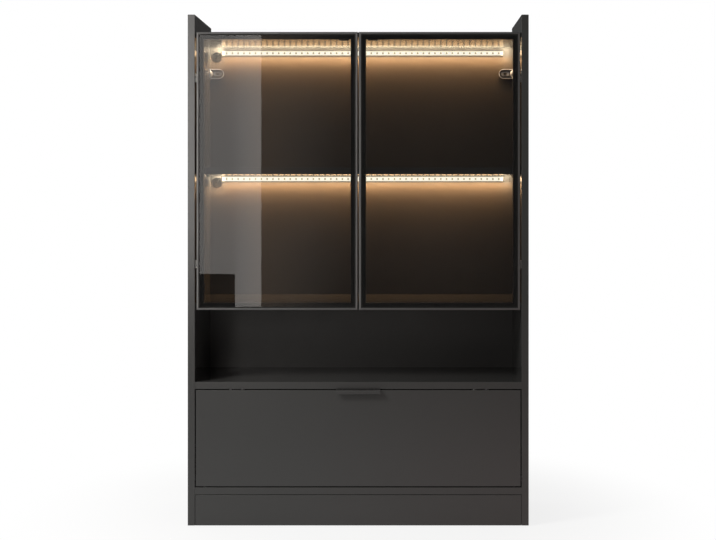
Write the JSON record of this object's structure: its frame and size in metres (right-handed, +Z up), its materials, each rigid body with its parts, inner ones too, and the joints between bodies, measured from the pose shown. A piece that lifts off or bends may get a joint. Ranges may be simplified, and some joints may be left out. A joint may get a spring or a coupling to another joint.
{
  "type": "display cabinet",
  "caption": "Tall lacquered display cabinet: framed glass doors over a lit shelved case, an open counter niche and a drop-down flap.",
  "frame": {"origin": "on the floor under the middle of the cabinet's box, the pull counted in", "axes": "+Z up, +X to the right seen from the front, +Y from the front to the back"},
  "size_m": [1.2, 0.418, 1.8],
  "materials": {
    "lacquered_board": "satin dark grey lacquer on board",
    "back_board": "matte dark brown-grey foil on board",
    "frame_metal": "dark anodised, fine brushed",
    "door_glass": "clear toughened glass",
    "seal_rubber": "matte black",
    "plated_steel": "nickel plated",
    "cast_zinc": "raw die cast",
    "beech": "raw beech",
    "black_nylon": "matte moulded",
    "magnet": "plated magnet",
    "pull_metal": "satin dark grey coat",
    "bar_metal": "anodised",
    "bar_cover": "translucent warm white",
    "light_strip": "white strip",
    "light_chip": "yellow light chip",
    "lead_sheath": "smooth sheath",
    "grommet_plastic": "moulded"
  },
  "bodies": {
    "carcass": {"bottom_panel": "lacquered_board", "cable_grommets": "grommet_plastic", "cam_bolts": "plated_steel", "cam_locks": "cast_zinc", "chest_back": "back_board", "counter_panel": "lacquered_board", "display_back": "back_board", "display_floor": "lacquered_board", "door_hinge_arms": "plated_steel", "door_magnets": "black_nylon", "dowels": "beech", "fitting_screws": "plated_steel", "flap_magnets": "magnet", "flap_pivot_bushes": "black_nylon", "foot_glides": "black_nylon", "left_side_panel": "lacquered_board", "light_channels": "bar_metal", "light_chips": "light_chip", "light_covers": "bar_cover", "light_leads": "lead_sheath", "light_strips": "light_strip", "middle_shelf": "lacquered_board", "niche_back": "back_board", "plinth_front": "lacquered_board", "plinth_rear": "lacquered_board", "plinth_ribs": "lacquered_board", "right_side_panel": "lacquered_board", "shelf_pins": "plated_steel", "stay_guides": "plated_steel", "top_panel": "lacquered_board", "wall_bracket_screws": "plated_steel", "wall_brackets": "plated_steel"},
    "left_door": {"left_door_bottom_rail": "frame_metal", "left_door_corner_keys": "cast_zinc", "left_door_glass": "door_glass", "left_door_hinge_leaves": "plated_steel", "left_door_hinge_pins": "plated_steel", "left_door_hinge_stile": "frame_metal", "left_door_meeting_stile": "frame_metal", "left_door_seal": "seal_rubber", "left_door_strike": "plated_steel", "left_door_top_rail": "frame_metal"},
    "right_door": {"right_door_bottom_rail": "frame_metal", "right_door_corner_keys": "cast_zinc", "right_door_glass": "door_glass", "right_door_hinge_leaves": "plated_steel", "right_door_hinge_pins": "plated_steel", "right_door_hinge_stile": "frame_metal", "right_door_meeting_stile": "frame_metal", "right_door_seal": "seal_rubber", "right_door_strike": "plated_steel", "right_door_top_rail": "frame_metal"},
    "flap": {"flap_panel": "lacquered_board", "flap_pull": "pull_metal", "flap_screws": "plated_steel", "flap_strikes": "plated_steel", "flap_pivot_pins": "plated_steel", "quadrant_stays": "plated_steel"}
  },
  "joints": [
    {"name": "left_door_swing", "type": "hinge", "parent": "carcass", "child": "left_door", "pos_m": [-0.5655, -0.184, 0.76], "axis": [0, 0, -1], "range_deg": [0, 95]},
    {"name": "right_door_swing", "type": "hinge", "parent": "carcass", "child": "right_door", "pos_m": [0.5655, -0.184, 0.76], "axis": [0, 0, 1], "range_deg": [0, 95]},
    {"name": "flap_drop", "type": "hinge", "parent": "carcass", "child": "flap", "pos_m": [0, -0.184, 0.1675], "axis": [1, 0, 0], "range_deg": [0, 90]}
  ]
}
